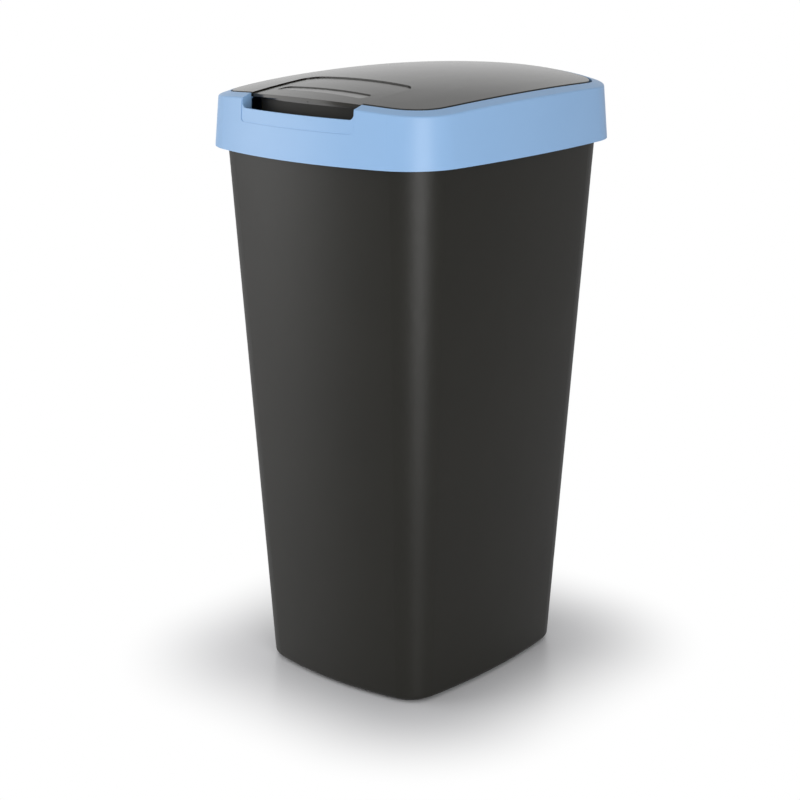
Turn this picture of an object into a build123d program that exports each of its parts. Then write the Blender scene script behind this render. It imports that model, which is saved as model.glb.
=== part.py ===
from build123d import *
from math import atan2, degrees, radians, tan
import os

# A kitchen recycling bin: a tall tapered bucket, a ring that sits over its rim,
# and a domed flap that is hinged at the back of the ring. Sizes are in millimetres.
# The origin is on the floor under the middle of the bin. The front faces -Y.

# Bucket
rim_top = 560.0           # top of the bucket's rim above the floor
bucket_wall = 2.0
bucket_floor = 3.0
base_width = 219.0        # body just above its rounded lower edge
base_depth = 255.8
base_end_bow = 16.9       # how far front and back bulge at the base
base_side_bow = 12.9
base_corner = 34.0
base_rounding = 5.0
floor_rounding = 8.0
foot_height = 2.6
foot_inset = 8.0          # from the body's lower outline to the foot's outer face
foot_width = 6.0
rim_reach = 10.3          # from the ring's outline in to the bucket's wall at the rim
rim_wall = 2.2
rim_lip_depth = 11.0
rim_clearance = 0.6       # between the rim and the ring's skirt

# Ring outline at the skirt's lower edge
ring_width = 296.0
ring_depth = 352.0
ring_end_bow = 31.4
ring_side_bow = 13.9
ring_corner = 60.0

# Ring section
skirt_cover = 27.4        # how far the skirt hangs below the rim
skirt_draft = 4.8         # degrees
skirt_wall = 2.4
band_width = 16.0         # from the skirt's lower outline in to the flap opening
bevel_run = 13.0          # runs in past the opening's edge
bevel_drop = 2.4
bevel_rounding = 2.0      # along the crease between bevel and skirt
opening_rounding = 0.8    # along the band's inner edge
collar_wall = 1.6
collar_depth = 9.0        # how far the collar plugs into the bucket
web_drop = 5.0            # from the crown down to the channel's roof
ledge_reach = 4.0
ledge_wall = 2.0
seat_gap = 0.3            # between pieces that rest on each other
seat_rib = 1.8
seat_rib_pitch = 70.0
seat_rib_count = 4

# Crown: the shallow dome that the flap and the ring's band share
crown_rise = 41.6         # its middle above the rim
crown_fall_side = 15.6    # from the middle to the ring's side
crown_fall_end = 11.9     # from the middle to the ring's front or back
crown_lift_corner = 3.4
crown_tilt = 2.6          # how much the back stands above the middle height
crown_margin = 1.06       # the crown surface runs past the ring's outline

# Finger notch in the ring's front
notch_width = 137.0
notch_sill_rise = 14.5    # the sill above the rim
notch_corner = 5.0
notch_wall = 2.2
pocket_floor_wall = 2.0
pad_depth = 0.5           # shallow recess in the skirt around the notch
pad_sill_drop = 12.8      # from the notch's sill down to the pad's lower edge
pad_corner = 4.5
pad_margin = 1.0          # the pad's sides stand this far outside the notch

# Flap
flap_gap = 1.2
hinge_gap = 2.8           # extra gap along the flap's back edge
flap_wall = 2.2
flap_rim_width = 3.0
flap_rim_depth = 4.2
flap_rounding = 0.8
panel_margin = 1.0        # from the notch's side in to the sunken thumb panel's side
panel_length = 84.0       # from the flap's front edge back
panel_corner = 15.0
panel_sink = 1.2
scoop_width = 106.0
scoop_back = 38.5         # from the flap's front edge to the scoop's back edge
scoop_run = 15.7          # from the scoop's back edge to its front edge
scoop_depth = 2.2         # at the scoop's back edge; its floor rises to nothing at the front
scoop_corner = 5.0
lip_overhang = 8.0        # the lip in front of the flap's front wall
lip_wall_width = 128.0
lip_wall_return = 12.0
lip_wall_gap = 1.2        # under the flap's front wall, above the pocket's floor
stiffener = 1.6
stiffener_depth = 7.0
stiffener_pitch = 62.0
stiffener_count = 3

# Hinge
hinge_back = 33.0         # from the ring's back face to the hinge axis
hinge_rise = 28.4         # the axis above the rim
hinge_span = 80.0         # between the middles of the two knuckles
knuckle_length = 10.0
knuckle_radius = 3.4
trunnion_radius = 2.0
trunnion_length = 4.6
trunnion_clearance = 0.06
ear_wall = 3.6
ear_gap = 0.35            # between a knuckle's face and its ear
ear_foot = 9.0            # from the hinge axis forward to the front of an ear's foot
bracket_drop = 17.0       # from the hinge axis down to the bracket's top
bracket_wall = 2.4
bracket_margin = 1.5
gusset_depth = 14.0
ledge_end = 12.0          # the ledge stops this far in front of the hinge axis

# Places that follow from the sizes above
skirt_bottom = rim_top - skirt_cover
crown_top = rim_top + crown_rise
half_width, half_depth = ring_width / 2, ring_depth / 2
notch_sill = rim_top + notch_sill_rise
pocket_floor = rim_top + seat_gap + pocket_floor_wall
flap_inset = band_width + flap_gap
flap_front = -half_depth + flap_inset
hinge_y = half_depth - hinge_back
hinge_z = rim_top + hinge_rise
notch_back = -half_depth + 2 * band_width
tall = 2 * crown_rise + skirt_cover
upward = (Align.CENTER, Align.CENTER, Align.MIN)


def bowed_rectangle(width, depth, end_bow, side_bow, radius, inset):
    """A rectangle with bulging ends and sides: where four large discs overlap, with rounded corners."""
    x_corner, y_corner = width / 2 - side_bow, depth / 2 - end_bow
    end_radius = (x_corner**2 + end_bow**2) / (2 * end_bow)
    side_radius = (y_corner**2 + side_bow**2) / (2 * side_bow)
    with BuildSketch() as shape:
        Rectangle(2 * width, 2 * depth)
        for angle in (90, 270):
            with PolarLocations(end_radius - depth / 2, 1, angle):
                Circle(end_radius - inset, mode=Mode.INTERSECT)
        for angle in (0, 180):
            with PolarLocations(side_radius - width / 2, 1, angle):
                Circle(side_radius - inset, mode=Mode.INTERSECT)
        fillet(shape.vertices(), radius - inset)
    return shape.sketch.face()


def ring_outline(level, inset=0.0, shortened=0.0):
    """The ring's outline at a height, moved in by inset; shortened pulls its back edge forward."""
    depth = ring_depth - shortened
    outline = bowed_rectangle(ring_width, depth, ring_end_bow, ring_side_bow, ring_corner, inset)
    return outline.moved(Location((0, -shortened / 2, level)))


def base_outline(level, inset=0.0):
    """The bucket's outline at its base, moved in by inset."""
    outline = bowed_rectangle(base_width, base_depth, base_end_bow, base_side_bow, base_corner, inset)
    return outline.moved(Location((0, 0, level)))


def skirt_inset(level):
    """How far the skirt's outer face has leaned in at a height."""
    return (level - skirt_bottom) * tan(radians(skirt_draft))


def crown_height(x, y):
    """Height of the crown: it falls with the square of both distances from the middle."""
    u, v = x / half_width, y / half_depth
    bowl = crown_fall_side * u**2 + crown_fall_end * v**2 - crown_lift_corner * u**2 * v**2
    return crown_top - bowl + crown_tilt * v


def crown_face(drop=0.0):
    """The crown as one surface with three by three control points, lowered by drop."""
    k = crown_margin
    square = (k * k, -k * k, k * k)
    slope = (-k, 0, k)
    grid = [
        [
            Vector(
                half_width * slope[i],
                half_depth * slope[j],
                crown_top - drop - crown_fall_side * square[i] - crown_fall_end * square[j]
                + crown_tilt * slope[j] + crown_lift_corner * square[i] * square[j],
            )
            for j in range(3)
        ]
        for i in range(3)
    ]
    return Face.make_bezier_surface(grid)


def under_crown(drop=0.0):
    """The space under the crown lowered by drop."""
    return Solid.extrude(crown_face(drop), Vector(0, 0, -tall))


def crowned_prism(inset, drop, shortened=0.0):
    """A prism of the ring's outline, from the skirt's lower edge up to the lowered crown."""
    with BuildPart() as prism:
        add(ring_outline(skirt_bottom, inset, shortened))
        extrude(amount=tall)
        add(under_crown(drop), mode=Mode.INTERSECT)
    return prism.part


def crown_layer(plan, top, bottom):
    """What a plan, extruded, holds between the crown lowered by top and lowered by bottom."""
    with BuildPart() as layer:
        add(plan.faces())
        extrude(amount=tall)
        add(under_crown(top), mode=Mode.INTERSECT)
        add(under_crown(bottom), mode=Mode.SUBTRACT)
    return layer.part


def front_block(width, back, bottom, corner=0.0):
    """A block in front of a depth and above a height, with its lower corners rounded."""
    with BuildPart() as block:
        with BuildSketch(Plane.XZ.offset(-back)) as face:
            with Locations((0, bottom)):
                Rectangle(width, tall, align=(Align.CENTER, Align.MIN))
            if corner:
                fillet(face.vertices().group_by(Axis.Z)[0], corner)
        extrude(amount=half_depth)
    return block.part


# Bucket
with BuildPart() as bin_body:
    lip_bottom = rim_top - rim_lip_depth
    rim_inset = skirt_inset(lip_bottom) + skirt_wall + rim_clearance
    add(ring_outline(lip_bottom, rim_inset))
    extrude(amount=rim_lip_depth, taper=skirt_draft)
    add(ring_outline(lip_bottom, rim_inset + rim_wall))
    extrude(amount=rim_lip_depth - rim_wall, taper=skirt_draft, mode=Mode.SUBTRACT)
    add(base_outline(foot_height))
    add(ring_outline(rim_top, rim_reach))
    loft(ruled=True)
    fillet(bin_body.faces().sort_by(Axis.Z)[0].edges(), base_rounding)
    add(base_outline(0, foot_inset))
    extrude(amount=foot_height)
    add(base_outline(0, foot_inset + foot_width))
    extrude(amount=foot_height, mode=Mode.SUBTRACT)
    add(base_outline(foot_height + bucket_floor, bucket_wall))
    add(ring_outline(rim_top, rim_reach + bucket_wall))
    loft(ruled=True, mode=Mode.SUBTRACT)
    inside_floor = foot_height + bucket_floor
    fillet(bin_body.edges().filter_by_position(Axis.Z, inside_floor, inside_floor), floor_rounding)
bin_body.part.label = "bin_body"

# Ring: skirt, bevelled band and collar in one, over the bucket's rim
with BuildPart() as channel:
    add(ring_outline(skirt_bottom, skirt_wall))
    extrude(amount=tall, taper=skirt_draft)
    add(under_crown(web_drop), mode=Mode.INTERSECT)
    add(ring_outline(skirt_bottom, band_width - collar_wall))
    extrude(amount=tall, mode=Mode.SUBTRACT)
    with Locations((0, -half_depth, pocket_floor - pocket_floor_wall)):
        Box(notch_width + 2 * notch_wall, half_depth, tall, align=upward, mode=Mode.SUBTRACT)
    with Locations((0, 0, rim_top + seat_gap)):
        with GridLocations(0, seat_rib_pitch, 1, seat_rib_count):
            Box(ring_width, seat_rib, tall, align=upward, mode=Mode.SUBTRACT)

with BuildPart() as pocket:
    add(ring_outline(skirt_bottom, skirt_wall))
    extrude(amount=tall, taper=skirt_draft)
    add(front_block(notch_width, notch_back, pocket_floor), mode=Mode.INTERSECT)

with BuildPart() as pad:
    add(front_block(notch_width + 2 * pad_margin, notch_back, notch_sill - pad_sill_drop, pad_corner))
    add(ring_outline(skirt_bottom, pad_depth))
    extrude(amount=tall, taper=skirt_draft, mode=Mode.SUBTRACT)

with BuildPart() as ledge:
    add(ring_outline(skirt_bottom, band_width - collar_wall / 2))
    extrude(amount=tall)
    add(ring_outline(skirt_bottom, band_width + ledge_reach))
    extrude(amount=tall, mode=Mode.SUBTRACT)
    ledge_drop = flap_rim_depth + seat_gap
    add(under_crown(ledge_drop), mode=Mode.INTERSECT)
    add(under_crown(ledge_drop + ledge_wall), mode=Mode.SUBTRACT)
    add(front_block(notch_width + 2 * notch_wall, notch_back, skirt_bottom), mode=Mode.SUBTRACT)
    with Locations((0, hinge_y - ledge_end, skirt_bottom)):
        Box(ring_width, half_depth, tall, align=(Align.CENTER, Align.MIN, Align.MIN), mode=Mode.SUBTRACT)

with BuildPart() as hinge_ears:
    for side in (-1, 1):
        middle = side * hinge_span / 2
        reach = knuckle_length / 2 + ear_gap
        for face in (middle - reach - ear_wall, middle + reach):
            with BuildSketch(Plane.YZ.offset(face)):
                with Locations((hinge_y, hinge_z)):
                    Polygon(
                        (-knuckle_radius, 0), (-ear_foot, -bracket_drop), (0, -bracket_drop), (0, 0), align=None,
                    )
                    Circle(knuckle_radius)
                    Circle(trunnion_radius + trunnion_clearance, mode=Mode.SUBTRACT)
            extrude(amount=ear_wall)
        with BuildSketch(Plane.XY.offset(hinge_z - bracket_drop)):
            with Locations((middle, hinge_y - ear_foot - bracket_margin)):
                Rectangle(
                    2 * (reach + ear_wall + bracket_margin), hinge_back, align=(Align.CENTER, Align.MIN),
                )
        extrude(amount=-bracket_wall)
        with BuildSketch(Plane.YZ.offset(middle - bracket_wall / 2)):
            with Locations((hinge_y - ear_foot, hinge_z - bracket_drop - bracket_wall / 2)):
                Polygon((0, 0), (hinge_back, 0), (hinge_back, -gusset_depth), align=None)
        extrude(amount=bracket_wall)
    add(ring_outline(skirt_bottom, band_width - collar_wall / 2))
    extrude(amount=tall, mode=Mode.INTERSECT)

with BuildPart() as lid_frame:
    add(ring_outline(skirt_bottom))
    extrude(amount=tall, taper=skirt_draft)
    add(under_crown(), mode=Mode.INTERSECT)
    crown_top_face = lid_frame.faces().sort_by(Axis.Z)[-1]
    chamfer(crown_top_face.edges(), bevel_run, bevel_drop, reference=crown_top_face)
    skirt_faces = lid_frame.faces().filter_by(GeomType.CONE)
    bevel_faces = lid_frame.faces().filter_by(GeomType.BSPLINE)
    fillet(skirt_faces.edges() & bevel_faces.edges(), bevel_rounding)
    add(ring_outline(skirt_bottom, band_width))
    extrude(amount=tall, mode=Mode.SUBTRACT)
    opening_edges = lid_frame.edges(Select.LAST).filter_by(lambda edge: (edge @ 0).Z > rim_top < (edge @ 1).Z)
    fillet(opening_edges, opening_rounding)
    add(channel.part, mode=Mode.SUBTRACT)
    add(ring_outline(skirt_bottom, skirt_wall))
    extrude(amount=rim_top - collar_depth - skirt_bottom, taper=skirt_draft, mode=Mode.SUBTRACT)
    add(ledge.part)
    add(hinge_ears.part)
    add(pocket.part, mode=Mode.SUBTRACT)
    add(front_block(notch_width, notch_back, notch_sill, notch_corner), mode=Mode.SUBTRACT)
    add(pad.part, mode=Mode.SUBTRACT)
lid_frame.part.label = "lid_frame"

# Flap
scoop_front = flap_front + scoop_back - scoop_run
scoop_front_height = crown_height(0, scoop_front) - panel_sink


def under_scoop(drop=0.0):
    """The space under the scoop's floor: the panel's crown, turned down about the scoop's front edge."""
    front_edge = Axis((0, scoop_front, scoop_front_height), (1, 0, 0))
    floor = crown_face(panel_sink + drop).rotate(front_edge, -degrees(atan2(scoop_depth, scoop_run)))
    return Solid.extrude(floor, Vector(0, 0, -tall))


with BuildSketch(Plane.XY.offset(skirt_bottom)) as scoop_plan:
    with Locations((0, scoop_front)):
        Rectangle(scoop_width, scoop_run, align=(Align.CENTER, Align.MIN))
    fillet(scoop_plan.vertices(), scoop_corner)

with BuildPart() as scoop:
    add(scoop_plan.sketch)
    extrude(amount=tall)
    add(under_scoop(), mode=Mode.SUBTRACT)

with BuildPart() as scoop_shell:
    with BuildSketch(Plane.XY.offset(skirt_bottom)):
        add(scoop_plan.sketch)
        offset(amount=flap_wall)
    extrude(amount=tall)
    add(under_crown(panel_sink), mode=Mode.INTERSECT)
    add(under_scoop(flap_wall), mode=Mode.SUBTRACT)

panel_width = notch_width - 2 * panel_margin
with BuildSketch(Plane.XY.offset(skirt_bottom)) as panel_plan:
    with Locations((0, flap_front + panel_length)):
        Rectangle(panel_width, half_depth, align=(Align.CENTER, Align.MAX))
    fillet(panel_plan.vertices().group_by(Axis.Y)[-1], panel_corner)

with BuildSketch(Plane.XY.offset(skirt_bottom)) as panel_shell_plan:
    add(panel_plan.sketch)
    offset(amount=flap_wall)

with BuildSketch(Plane.XY.offset(skirt_bottom)) as stiffener_plan:
    with GridLocations(stiffener_pitch, 0, stiffener_count, 1):
        Rectangle(stiffener, ring_depth)
    with GridLocations(0, stiffener_pitch, 1, stiffener_count):
        Rectangle(ring_width, stiffener)
    add(ring_outline(0, flap_inset + flap_rim_width + ledge_reach), mode=Mode.INTERSECT)

lip_wall_bottom = pocket_floor + lip_wall_gap
lip_wall_inset = flap_inset + lip_overhang
lip_wall_end = flap_front + lip_overhang + lip_wall_return
with BuildPart() as lip_wall_core:
    add(ring_outline(lip_wall_bottom, lip_wall_inset + flap_wall))
    extrude(amount=tall)
    add(front_block(lip_wall_width - 2 * flap_wall, lip_wall_end, lip_wall_bottom), mode=Mode.INTERSECT)

with BuildPart() as lip_wall:
    add(ring_outline(lip_wall_bottom, lip_wall_inset))
    extrude(amount=tall)
    add(front_block(lip_wall_width, lip_wall_end, lip_wall_bottom), mode=Mode.INTERSECT)
    add(lip_wall_core.part, mode=Mode.SUBTRACT)
    add(under_crown(panel_sink + flap_wall / 2), mode=Mode.INTERSECT)

with BuildPart() as knuckles:
    for side in (-1, 1):
        start = side * hinge_span / 2 - knuckle_length / 2
        with BuildSketch(Plane.YZ.offset(start)):
            with Locations((hinge_y, hinge_z)):
                Circle(knuckle_radius)
                Rectangle(2 * knuckle_radius, crown_rise, align=(Align.CENTER, Align.MIN))
        extrude(amount=knuckle_length)
    add(under_crown(flap_wall / 2), mode=Mode.INTERSECT)
    for side in (-1, 1):
        start = side * hinge_span / 2 - knuckle_length / 2 - trunnion_length
        with BuildSketch(Plane.YZ.offset(start)):
            with Locations((hinge_y, hinge_z)):
                Circle(trunnion_radius)
        extrude(amount=knuckle_length + 2 * trunnion_length)

with BuildPart() as flap_blank:
    add(crowned_prism(flap_inset, 0, hinge_gap))
    fillet(flap_blank.faces().sort_by(Axis.Z)[-1].edges(), flap_rounding)

with BuildPart() as panel_shell:
    add(crown_layer(panel_shell_plan.sketch, panel_sink, panel_sink + flap_wall))
    add(flap_blank.part, mode=Mode.INTERSECT)

with BuildPart() as flap:
    add(flap_blank.part)
    add(under_crown(flap_rim_depth), mode=Mode.SUBTRACT)
    add(crowned_prism(flap_inset + flap_rim_width, flap_wall, hinge_gap), mode=Mode.SUBTRACT)
    add(panel_shell.part)
    add(crown_layer(stiffener_plan.sketch, flap_wall / 2, stiffener_depth))
    add(scoop_shell.part)
    add(lip_wall.part)
    add(knuckles.part)
    add(crown_layer(panel_plan.sketch, -seat_gap, panel_sink), mode=Mode.SUBTRACT)
    add(scoop.part, mode=Mode.SUBTRACT)
flap.part.label = "flap"

os.makedirs("parts", exist_ok=True)
for piece in (bin_body, lid_frame, flap):
    export_step(piece.part, f"parts/{piece.part.label}.step")
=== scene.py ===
# %% [markdown]
# A kitchen recycling bin in three moulded pieces: a tall tapered bucket, a ring that sits over
# its rim, and a domed flap that is hinged at the back of the ring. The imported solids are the
# fixed frame. What is made here is a fuller copy of each, and how its plastic looks: the
# colour, the grain, the gloss that differs from piece to piece, and the light that shows it.
# Lengths are metres unless a cell says millimetres. The front of the bin faces -Y.

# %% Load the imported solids
import bpy
import math
import numpy as np
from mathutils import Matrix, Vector


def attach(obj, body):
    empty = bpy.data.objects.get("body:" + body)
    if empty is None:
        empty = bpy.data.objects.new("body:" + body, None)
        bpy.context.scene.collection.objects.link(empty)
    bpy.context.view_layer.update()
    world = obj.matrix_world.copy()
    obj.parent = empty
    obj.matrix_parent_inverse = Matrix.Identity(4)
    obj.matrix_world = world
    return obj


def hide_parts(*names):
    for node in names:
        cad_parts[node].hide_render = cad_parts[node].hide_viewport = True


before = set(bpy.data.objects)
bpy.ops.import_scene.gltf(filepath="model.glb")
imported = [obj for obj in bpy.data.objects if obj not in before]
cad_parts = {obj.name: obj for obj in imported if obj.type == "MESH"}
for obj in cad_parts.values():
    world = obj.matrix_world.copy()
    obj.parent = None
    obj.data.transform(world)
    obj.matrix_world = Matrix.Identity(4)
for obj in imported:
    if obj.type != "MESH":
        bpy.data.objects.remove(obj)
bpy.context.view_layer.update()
print("solids:", sorted(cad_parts))

# %% [markdown]
# The camera stands to the right of the front and looks down a little. Its place and lens were
# worked out from the outlines in the photograph, so that a straight edge of the bin falls on
# the same straight edge in the picture. The picture is square, and the lens has no shift.

# %% Camera
CAMERA_PLACE = (1.14259, -1.36099, 0.78969)
CAMERA_YAW = 0.70605
CAMERA_PITCH = -0.28547
SENSOR = 36.0
LENS = 81.98

lens = bpy.data.cameras.new("photo_camera")
lens.sensor_width = SENSOR
lens.lens = LENS
camera = bpy.data.objects.new("photo_camera", lens)
camera.location = CAMERA_PLACE
camera.rotation_euler = (math.pi / 2 + CAMERA_PITCH, 0.0, CAMERA_YAW)
bpy.context.scene.collection.objects.link(camera)
bpy.context.scene.camera = camera
print("camera at", CAMERA_PLACE)


# %% [markdown]
# Seen from above, the bin is a rectangle whose four sides bulge and whose corners are round.
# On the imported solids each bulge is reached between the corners. In the photograph it is
# reached over the whole width, so the sides are flatter and the corners over 3 mm fuller.
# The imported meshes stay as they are. Each piece shown here is a copy whose points are moved
# outwards, and the move is worked out from the two outlines, so nothing is drawn by hand.

# %% The two outlines, seen from above
MM = 0.001
RING = {"width": 296.0, "depth": 352.0, "end_bow": 31.4, "side_bow": 13.9, "corner": 60.0}
BASE = {"width": 219.0, "depth": 255.8, "end_bow": 16.9, "side_bow": 12.9, "corner": 34.0}


def arc_radius(half_chord, bow):
    """Radius of an arc that rises by bow over half a chord: half of (chord squared over bow, plus bow)."""
    return (half_chord**2 / bow + bow) / 2


def reach(direction, centre, radius):
    """How far rays from the middle go to leave a circle, by the larger root of a quadratic. A ray
    that misses the circle gets its nearest approach instead, and is never the one chosen."""
    along = direction @ centre
    return along + np.sqrt(np.maximum(radius**2 - centre @ centre + along**2, 0.0))


def outline_reach(direction, width, depth, end_bow, side_bow, corner, over_all):
    """How far the outline is from the middle in each direction of the first quarter. It is the nearer
    of the bulging side and end, or the round corner between the points where it touches them.
    The bulges are reached over the whole width and depth if over_all is true."""
    short = 0.0 if over_all else 1.0
    end_radius = arc_radius(width / 2 - short * side_bow, end_bow)
    side_radius = arc_radius(depth / 2 - short * end_bow, side_bow)
    end_centre = np.array([0.0, depth / 2 - end_radius])
    side_centre = np.array([width / 2 - side_radius, 0.0])
    way = end_centre - side_centre
    apart = math.hypot(*way)
    ahead = way / apart
    along = ((side_radius - corner) ** 2 - (end_radius - corner) ** 2 + apart**2) / (2 * apart)
    across = math.sqrt((side_radius - corner) ** 2 - along**2)
    centre = side_centre + along * ahead + across * np.array([-ahead[1], ahead[0]])
    outward = [(centre - c) / math.hypot(*(centre - c)) for c in (side_centre, end_centre)]
    first, last = (math.atan2(y, x) for x, y in (centre + corner * way_out for way_out in outward))
    angle = np.arctan2(direction[:, 1], direction[:, 0])
    to_side = reach(direction, side_centre, side_radius)
    to_end = reach(direction, end_centre, end_radius)
    in_corner = (angle > first) & (angle < last)
    return np.where(in_corner, reach(direction, centre, corner), np.minimum(to_side, to_end))


diagonal = np.array([[148.0, 176.0]]) / math.hypot(148.0, 176.0)
packed_reach, real_reach = (outline_reach(diagonal, **RING, over_all=full)[0] for full in (False, True))
print("towards the corner: packed", round(packed_reach, 1), "real", round(real_reach, 1), "mm")

# %% [markdown]
# The move itself. A point's direction and height give how much further out the real wall is
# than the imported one. The growth is full at the walls and fades to nothing towards the
# middle, so the thumb panel keeps its place. Above the rim a point also stays on the crown,
# whose height depends on where the point now is.

# %% The move
RIM_TOP = 560.0
CROWN_FROM = 575.0
FADE = (0.60, 0.92)
CROWN_FALLS = (15.6, 11.9, 3.4, 2.6)


def smooth(value, low, high):
    """Zero below low, one above high, and a smooth step between."""
    t = np.clip((value - low) / (high - low), 0.0, 1.0)
    return t * t * (3 - 2 * t)


def crown(x, y):
    """Height of the crown against its middle: it falls with the square of both distances."""
    u, v = x / (RING["width"] / 2), y / (RING["depth"] / 2)
    side, end, lift, tilt = CROWN_FALLS
    return tilt * v - side * u**2 - end * v**2 + lift * u**2 * v**2


def fuller(points):
    """Points in millimetres, moved out to the real outline: x and y times the real reach over the
    packed one, blended from base to rim with height, and z kept on the crown."""
    flat = np.abs(points[:, :2])
    far = np.maximum(np.hypot(flat[:, 0], flat[:, 1]), 1e-6)
    direction = flat / far[:, None]
    rise = np.clip(points[:, 2] / RIM_TOP, 0.0, 1.0)
    packed, real = (
        outline_reach(direction, **BASE, over_all=full) * (1 - rise)
        + outline_reach(direction, **RING, over_all=full) * rise
        for full in (False, True)
    )
    growth = 1 + (real / packed - 1) * smooth(far / packed, *FADE)
    moved = points * np.stack([growth, growth, np.ones_like(growth)], 1)
    climb = crown(moved[:, 0], moved[:, 1]) - crown(points[:, 0], points[:, 1])
    moved[:, 2] += climb * smooth(points[:, 2], RIM_TOP, CROWN_FROM)
    return moved


print("crown falls", round(float(crown(0.0, 0.0) - crown(RING["width"] / 2, 0.0)), 1), "mm to each side")

# %% [markdown]
# The thumb panel is sunk a little, and behind its lip runs a scoop for the thumb. In the
# photograph the scoop is so shallow that only its back edge shows as a thin line. The packed
# one is deeper and reads as a dark slit, so the flap's copy keeps two fifths of its depth.

# %% A shallower scoop
SCOOP_HALF_WIDTH = 54.0
SCOOP_FRONT = -137.0
SCOOP_BACK = -119.5
SCOOP_DEEPEST = 2.6
SCOOP_SHARE = 0.40
PANEL_MIDDLE = 600.4


def fuller_flap(points):
    """The fuller points, and inside the scoop the depth below the panel is cut to a share of itself."""
    moved = fuller(points)
    x, y, z = moved.T
    depth = PANEL_MIDDLE + crown(x, y) - z
    in_plan = (np.abs(x) < SCOOP_HALF_WIDTH) & (y > SCOOP_FRONT) & (y < SCOOP_BACK)
    in_scoop = in_plan & (depth > 0) & (depth < SCOOP_DEEPEST)
    moved[:, 2] += np.where(in_scoop, (1 - SCOOP_SHARE) * depth, 0.0)
    return moved


print("scoop keeps", SCOOP_SHARE, "of its depth")

# %% [markdown]
# A surface that is moved needs new normals too. They could be averaged from the triangles,
# but a solid's faces are cut into long thin triangles, and those would then show as streaks.
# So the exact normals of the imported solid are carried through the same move.

# %% Normals carried along
STEP = 0.02


def carried_normals(move, points, normals):
    """Normals after the move: the inverse transpose of its slopes, which are measured by small steps."""
    ahead = [move(points + STEP * axis) for axis in np.eye(3)]
    behind = [move(points - STEP * axis) for axis in np.eye(3)]
    slopes = np.stack([(a - b) / (2 * STEP) for a, b in zip(ahead, behind)], axis=2)
    turned = np.einsum("nji,nj->ni", np.linalg.inv(slopes), normals)
    return turned / np.linalg.norm(turned, axis=1)[:, None]


upright = np.array([[0.0, 0.0, 1.0]])
near_corner = np.array([[120.0, -145.0, 585.0]])
leant = carried_normals(fuller, near_corner, upright)[0]
print("an upright normal near the corner leans by", round(math.degrees(math.acos(leant[2])), 2), "degrees")

# %% [markdown]
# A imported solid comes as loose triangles, with a point of its own at each corner of each one.
# Its copy first joins the points that are equal. A sliver may lose a corner by that, and such
# a triangle is left out. The copy then rides on the same body as the solid and replaces it.

# %% The three pieces, made fuller
def joined_triangles(node_name):
    """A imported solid's joined points in millimetres, its triangles, and a normal for each corner."""
    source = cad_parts[node_name].data
    points = np.empty(3 * len(source.vertices))
    source.vertices.foreach_get("co", points)
    corners = np.empty(len(source.loops), dtype=int)
    source.loops.foreach_get("vertex_index", corners)
    normals = np.empty(3 * len(source.loops))
    source.corner_normals.foreach_get("vector", normals)
    joined, places = np.unique(points.reshape(-1, 3), axis=0, return_inverse=True)
    faces = places.reshape(-1)[corners].reshape(-1, 3)
    whole = (faces != np.roll(faces, 1, axis=1)).all(axis=1)
    return joined / MM, faces[whole], normals.reshape(-1, 3, 3)[whole].reshape(-1, 3)


def fuller_piece(name, node_name, body, move=fuller):
    """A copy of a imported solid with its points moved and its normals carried, in the solid's place."""
    points, faces, normals = joined_triangles(node_name)
    moved = move(points)
    mesh = bpy.data.meshes.new(name)
    mesh.from_pydata(moved * MM, [], faces.tolist())
    mesh.shade_smooth()
    mesh.normals_split_custom_set(carried_normals(move, points[faces.ravel()], normals).tolist())
    piece = bpy.data.objects.new(name, mesh)
    bpy.context.scene.collection.objects.link(piece)
    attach(piece, body)
    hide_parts(node_name)
    shift = np.linalg.norm(moved - points, axis=1).max()
    print(name, len(faces), "triangles, moved by up to", round(shift, 2), "mm")
    return piece


bucket = fuller_piece("bucket", "bin_body", "bucket")
ring = fuller_piece("ring_with_notch", "lid_frame", "ring")
domed_flap = fuller_piece("domed_flap", "flap", "lid", fuller_flap)


# %% [markdown]
# A procedural material is a chain of nodes. These helpers keep each material's own cell
# short. Noise is read from the piece's own coordinates, so it stays on the piece when the
# piece moves. Most noise lies between a quarter and three quarters, which spread allows for.

# %% Material helpers
def new_material(name):
    """An empty material with one Principled shader; returns it, its tree and that shader."""
    material = bpy.data.materials.new(name)
    material.use_nodes = True
    tree = material.node_tree
    return material, tree, tree.nodes["Principled BSDF"]


def node(tree, kind, **values):
    """A node of a kind, with its inputs or settings given by name."""
    made = tree.nodes.new(kind)
    for key, value in values.items():
        if key in made.inputs:
            made.inputs[key].default_value = value
        else:
            setattr(made, key, value)
    return made


def noise(tree, scale, detail):
    """Noise on the piece's own coordinates, with about scale grains in a metre."""
    place = node(tree, "ShaderNodeTexCoord")
    made = node(tree, "ShaderNodeTexNoise", Scale=scale, Detail=detail)
    tree.links.new(place.outputs["Object"], made.inputs["Vector"])
    return made.outputs["Fac"]


def ramp(tree, value, source, target, curve="LINEAR"):
    """The value carried from the source range to the target range, and held at the ends."""
    made = node(tree, "ShaderNodeMapRange", interpolation_type=curve)
    for key, number in zip(("From Min", "From Max", "To Min", "To Max"), (*source, *target)):
        made.inputs[key].default_value = number
    tree.links.new(value, made.inputs["Value"])
    return made.outputs["Result"]


def spread(tree, value, low, high):
    """Noise whose middle half lies between 0.25 and 0.75, spread over low to high."""
    return ramp(tree, value, (0.25, 0.75), (low, high))


def result(tree, kind, operation, output, *given):
    """One output of a math node, whose inputs are linked to sockets or set to plain values."""
    made = node(tree, kind, operation=operation)
    for socket, value in zip(made.inputs, given):
        if isinstance(value, bpy.types.NodeSocket):
            tree.links.new(value, socket)
        else:
            socket.default_value = value
    return made.outputs[output]


print("helpers: new_material, node, noise, ramp, spread, result")

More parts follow.
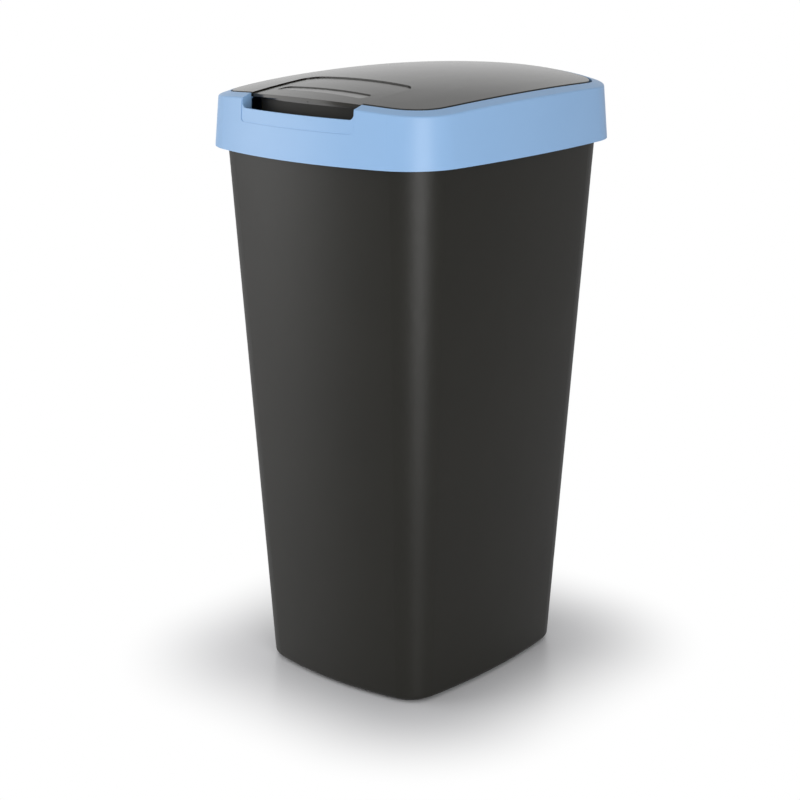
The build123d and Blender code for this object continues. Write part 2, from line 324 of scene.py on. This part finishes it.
# %% [markdown]
# Moulded plastic is one colour all through, yet it never looks flat. The pigment drifts a
# little over some centimetres, the mould's spark-eroded skin prints a fine grain, and that
# grain is why a bin is satin and not mirror bright. So one function takes two near colours, the
# gloss and its spread, and the grain's pitch and depth, and each piece gets its own values.

# %% Moulded plastic
DRIFTS_PER_METRE = 9.0
DRIFT_DETAIL = 3.0
GRAIN_DETAIL = 4.0
MATT = 0.62
MATT_EDGE = 0.001


def drifting_colour(tree, dark, light):
    """A colour that drifts between two near ones over some centimetres."""
    colours = node(tree, "ShaderNodeMix", data_type="RGBA")
    ends = [socket for socket in colours.inputs if socket.type == "RGBA"]
    for socket, colour in zip(ends, (dark, light)):
        socket.default_value = (*colour, 1.0)
    drift = spread(tree, noise(tree, DRIFTS_PER_METRE, DRIFT_DETAIL), 0.0, 1.0)
    tree.links.new(drift, colours.inputs["Factor"])
    return [socket for socket in colours.outputs if socket.type == "RGBA"][0]


def matt_under(tree, roughness, height):
    """The roughness, raised to at least MATT on the parts of the piece that are below a height."""
    place = node(tree, "ShaderNodeTexCoord")
    split = node(tree, "ShaderNodeSeparateXYZ")
    tree.links.new(place.outputs["Object"], split.inputs["Vector"])
    low = ramp(tree, split.outputs["Z"], (height - MATT_EDGE, height), (MATT, 0.0))
    return result(tree, "ShaderNodeMath", "MAXIMUM", "Value", roughness, low)


def moulded(name, dark, light, roughness, grains, grain_depth, specular=0.5, matt_below=None):
    """Plastic whose colour drifts between dark and light, with a grain in its gloss and its height."""
    material, tree, shader = new_material(name)
    shader.inputs["Specular IOR Level"].default_value = specular
    tree.links.new(drifting_colour(tree, dark, light), shader.inputs["Base Color"])
    fine = noise(tree, grains, GRAIN_DETAIL)
    gloss = spread(tree, fine, *roughness)
    if matt_below is not None:
        gloss = matt_under(tree, gloss, matt_below)
    tree.links.new(gloss, shader.inputs["Roughness"])
    bump = node(tree, "ShaderNodeBump", Strength=1.0, Distance=grain_depth)
    tree.links.new(fine, bump.inputs["Height"])
    tree.links.new(bump.outputs["Normal"], shader.inputs["Normal"])
    return material


print("colour drifts about", DRIFTS_PER_METRE, "times in a metre")

# %% [markdown]
# The bucket is satin and dark with a warm cast. The ring is a smoother light blue. The flap is
# the glossiest, and shows the back of the studio as a pale sheet. Its lip, which hangs into the
# finger notch, looks nearly black in the photograph, where gloss would catch the lamps. So
# everything on the flap below the lip's top is matt, and that takes in its lowest corners.
# The colours are linear, so the numbers look smaller than the colours on screen.

# %% The three plastics
bucket_plastic = moulded(
    "bucket_satin", dark=(0.0065, 0.0058, 0.0030), light=(0.0085, 0.0078, 0.0045),
    roughness=(0.38, 0.48), grains=1400.0, grain_depth=0.00002, specular=0.40,
)
ring_plastic = moulded(
    "ring_gloss", dark=(0.265, 0.452, 0.720), light=(0.279, 0.466, 0.735),
    roughness=(0.34, 0.42), grains=900.0, grain_depth=0.00001,
)
flap_plastic = moulded(
    "flap_satin", dark=(0.0120, 0.0100, 0.0060), light=(0.0150, 0.0130, 0.0085),
    roughness=(0.16, 0.22), grains=1200.0, grain_depth=0.000006, matt_below=0.5825,
)
for piece, plastic in ((bucket, bucket_plastic), (ring, ring_plastic), (domed_flap, flap_plastic)):
    piece.data.materials.append(plastic)
    print(piece.name, "has", plastic.name)

# %% [markdown]
# The bin stands on a pale floor that has no horizon. A floor that is lit like the bin would
# turn grey far away, and more light on the bin is no cure. So the floor shows its shading,
# with the bin's shadow and faint reflection, near the bin only. Further out what the camera sees
# of it passes smoothly into plain white, which is also the colour of the background.

# %% Floor
FLOOR_HALF = 6.0
FLOOR_COLOUR = (0.76, 0.76, 0.775, 1.0)
FLOOR_ROUGHNESS = 0.30
CARD_CORE = (0.075, 0.090, 0.0)
SHADED_TO = 0.03
WHITE_FROM = 0.20


def seen_white(tree, shaded):
    """The shaded surface, mixed into plain white with distance, and for the camera's rays only. The
    distance is that of a point from a rectangle with half sizes CARD_CORE round the bin's foot."""
    place = node(tree, "ShaderNodeTexCoord")
    path = node(tree, "ShaderNodeLightPath")
    kind = "ShaderNodeVectorMath"
    quarter = result(tree, kind, "ABSOLUTE", "Vector", place.outputs["Object"])
    past = result(tree, kind, "SUBTRACT", "Vector", quarter, CARD_CORE)
    outside = result(tree, kind, "MAXIMUM", "Vector", past)
    away = result(tree, kind, "LENGTH", "Value", outside)
    fade = ramp(tree, away, (SHADED_TO, WHITE_FROM), (0.0, 1.0), "SMOOTHSTEP")
    share = result(tree, "ShaderNodeMath", "MULTIPLY", "Value", fade, path.outputs["Is Camera Ray"])
    white = node(tree, "ShaderNodeEmission", Strength=1.0)
    mix = node(tree, "ShaderNodeMixShader")
    tree.links.new(share, mix.inputs["Fac"])
    tree.links.new(shaded, mix.inputs[1])
    tree.links.new(white.outputs["Emission"], mix.inputs[2])
    return mix.outputs["Shader"]


def studio_floor():
    """A large square floor whose camera view fades from shaded to white."""
    ends = (-FLOOR_HALF, FLOOR_HALF)
    corners = [(x, y, 0.0) for y in ends for x in ends]
    mesh = bpy.data.meshes.new("floor")
    mesh.from_pydata(corners, [], [(0, 1, 3, 2)])
    floor = bpy.data.objects.new("floor", mesh)
    bpy.context.scene.collection.objects.link(floor)
    material, tree, shader = new_material("floor_card")
    shader.inputs["Base Color"].default_value = FLOOR_COLOUR
    shader.inputs["Roughness"].default_value = FLOOR_ROUGHNESS
    seen = seen_white(tree, shader.outputs["BSDF"])
    tree.links.new(seen, tree.nodes["Material Output"].inputs["Surface"])
    mesh.materials.append(material)


studio_floor()
print("floor is shaded to", SHADED_TO, "m and white from", WHITE_FROM, "m outside its core")

# %% [markdown]
# Dark satin plastic shows the studio more than itself. The photograph's front wall has a soft
# bright sheet from the left, and the near corner carries an upright highlight. So there is a
# large softbox to the left of the front, a tall narrow one to the right of the camera, and a
# weak one behind on the left. The world is a little brighter near the horizon than overhead.
# It darkens towards the back right, where a dark curtain would hang, because the right wall
# is the darkest in the photograph. The camera sees the world as plain white.

# %% Light
AIM = Vector((0.0, 0.0, 0.30))
CURTAIN = (0.77, 0.64, 0.0)
CURTAIN_LEVEL = 0.60


def softbox(name, azimuth, elevation, distance, size, power):
    """A rectangular lamp that faces the bin. Azimuth 0 is straight in front, and more is to the right."""
    turn, rise = math.radians(azimuth), math.radians(elevation)
    flat = math.cos(rise)
    toward = Vector((math.sin(turn) * flat, -math.cos(turn) * flat, math.sin(rise)))
    light = bpy.data.lights.new(name, "AREA")
    light.shape = "RECTANGLE"
    light.size, light.size_y = size
    light.energy = power
    lamp = bpy.data.objects.new(name, light)
    lamp.location = AIM + toward * distance
    lamp.rotation_euler = (-toward).to_track_quat("-Z", "Y").to_euler()
    lamp.visible_camera = False
    bpy.context.scene.collection.objects.link(lamp)


def studio_world(overhead, horizon):
    """White for the camera. For all else it falls from the horizon's level to the overhead one, and
    darkens towards the curtain by the cosine of the angle to it."""
    world = bpy.data.worlds.new("studio")
    bpy.context.scene.world = world
    world.use_nodes = True
    tree = world.node_tree
    place = node(tree, "ShaderNodeTexCoord")
    split = node(tree, "ShaderNodeSeparateXYZ")
    path = node(tree, "ShaderNodeLightPath")
    way = place.outputs["Generated"]
    tree.links.new(way, split.inputs["Vector"])
    level = ramp(tree, split.outputs["Z"], (0.0, 1.0), (horizon, overhead))
    cosine = result(tree, "ShaderNodeVectorMath", "DOT_PRODUCT", "Value", way, CURTAIN)
    shade = ramp(tree, cosine, (0.0, 1.0), (1.0, CURTAIN_LEVEL))
    lighting = result(tree, "ShaderNodeMath", "MULTIPLY", "Value", level, shade)
    strength = node(tree, "ShaderNodeMix", data_type="FLOAT")
    tree.links.new(path.outputs["Is Camera Ray"], strength.inputs[0])
    tree.links.new(lighting, strength.inputs[2])
    strength.inputs[3].default_value = 1.0
    background = tree.nodes["Background"]
    background.inputs["Color"].default_value = (1.0, 1.0, 1.0, 1.0)
    tree.links.new(strength.outputs[0], background.inputs["Strength"])


softbox("front_left_softbox", azimuth=-48.0, elevation=12.0, distance=2.2, size=(1.5, 1.5), power=17.5)
softbox("near_corner_strip", azimuth=60.0, elevation=2.0, distance=1.3, size=(0.6, 1.0), power=8.0)
softbox("back_left_softbox", azimuth=-142.0, elevation=12.0, distance=2.4, size=(2.2, 1.3), power=1.5)
studio_world(overhead=0.62, horizon=0.74)
bpy.context.scene.view_settings.view_transform = "Standard"
print("lamps:", sorted(light.name for light in bpy.data.lights))
